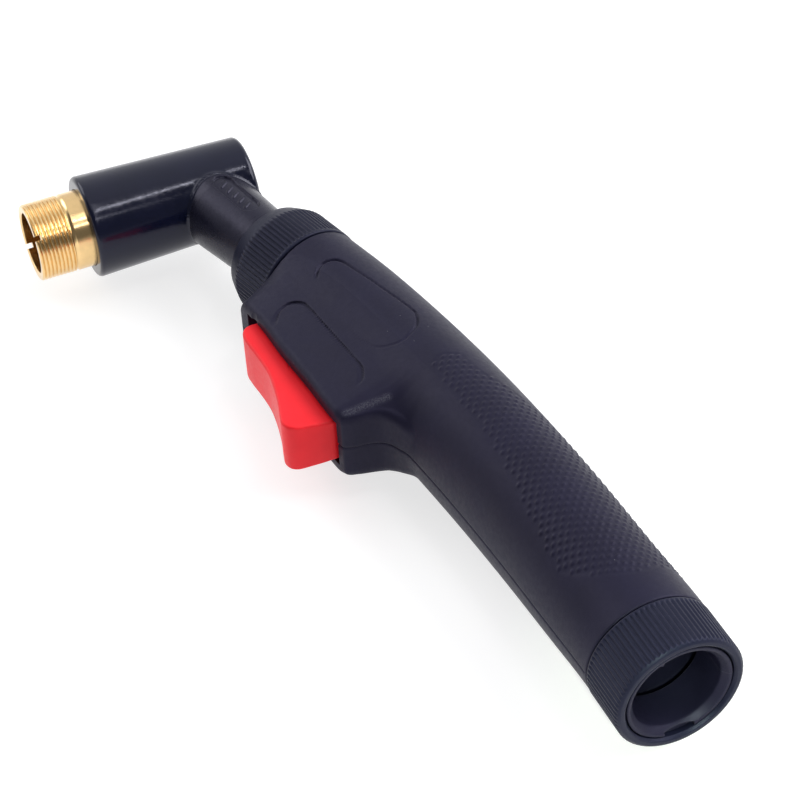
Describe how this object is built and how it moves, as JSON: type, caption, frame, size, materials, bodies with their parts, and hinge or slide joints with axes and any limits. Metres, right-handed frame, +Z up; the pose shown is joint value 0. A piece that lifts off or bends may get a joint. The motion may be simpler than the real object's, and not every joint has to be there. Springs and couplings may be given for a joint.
{
  "type": "welding torch handle with head",
  "caption": "Hand torch body: curved black two-part handle with red trigger, ribbed ring nuts, angled neck and head with a threaded brass front",
  "frame": {"origin": "bottom centre of the whole object's box, with the torch lying flat on its side", "axes": "+X along the handle towards the cable end; -Y towards the trigger and the brass nozzle end; +Z up, normal to the plane where the two handle halves meet"},
  "size_m": [0.2208, 0.0878, 0.0343],
  "materials": {
    "handle_plastic": "moulded black nylon, fine grain",
    "head_plastic": "glossy black overmould",
    "nut_plastic": "satin black",
    "trigger_plastic": "satin red",
    "brass": "turned, bright",
    "copper": "drawn copper tube",
    "steel": "plated",
    "tinned": "tinned",
    "insulator": "moulded, pale",
    "sleeve": "shrunk sleeve",
    "pilot_lead": "insulated lead",
    "lead_dark": "insulated lead",
    "lead_pale": "insulated lead",
    "switch_plastic": "moulded",
    "plunger_plastic": "moulded"
  },
  "bodies": {
    "torch_body": {"handle_shell_left": "handle_plastic", "handle_shell_right": "handle_plastic", "head_body": "head_plastic", "front_body": "brass", "electrode_holder": "brass", "tube_connector": "brass", "insulator_bush": "insulator", "gas_tube": "copper", "heat_shrink": "sleeve", "pilot_wire": "pilot_lead", "pilot_terminal": "tinned", "trigger_pin": "steel", "trigger_spring": "steel", "switch_case": "switch_plastic", "switch_cover": "switch_plastic", "switch_terminal_1": "tinned", "switch_terminal_2": "tinned", "switch_screw_1": "steel", "switch_screw_2": "steel", "switch_wire_1": "lead_dark", "switch_wire_2": "lead_pale", "switch_plug": "insulator"},
    "front_nut": {"front_ring_nut": "nut_plastic"},
    "rear_nut": {"rear_ring_nut": "nut_plastic"},
    "trigger": {"trigger": "trigger_plastic"},
    "switch_lever": {"switch_lever": "steel"},
    "switch_plunger": {"switch_plunger": "plunger_plastic"}
  },
  "joints": [
    {"name": "trigger_hinge", "type": "hinge", "parent": "torch_body", "child": "trigger", "pos_m": [-0.02862, -0.00276, 0.01715], "axis": [0, 0, 1], "range_deg": [0, 5], "stiffness_Nm_per_rad": 0.9, "springref_deg": -3.72, "deforming": ["trigger_spring"]},
    {"name": "lever_hinge", "type": "hinge", "parent": "torch_body", "child": "switch_lever", "pos_m": [-0.01762, 0.00314, 0.01715], "axis": [0, 0, 1], "range_deg": [0, 8.4]},
    {"name": "plunger_slide", "type": "slide", "parent": "torch_body", "child": "switch_plunger", "axis": [0, 1, 0], "range_m": [0, 0.00095]},
    {"name": "front_nut_turn", "type": "hinge", "parent": "torch_body", "child": "front_nut", "pos_m": [-0.04902, 0.01339, 0.01715], "axis": [-0.9713, -0.2377, 0], "range_deg": [0, 360]},
    {"name": "rear_nut_turn", "type": "hinge", "parent": "torch_body", "child": "rear_nut", "pos_m": [0.10988, 0.02874, 0.01715], "axis": [1, 0, 0], "range_deg": [0, 360]}
  ],
  "couplings": [
    {"joint": "lever_hinge", "follows": "trigger_hinge", "ratio": 1.64},
    {"joint": "plunger_slide", "follows": "trigger_hinge", "m_per_rad": 0.0105}
  ]
}
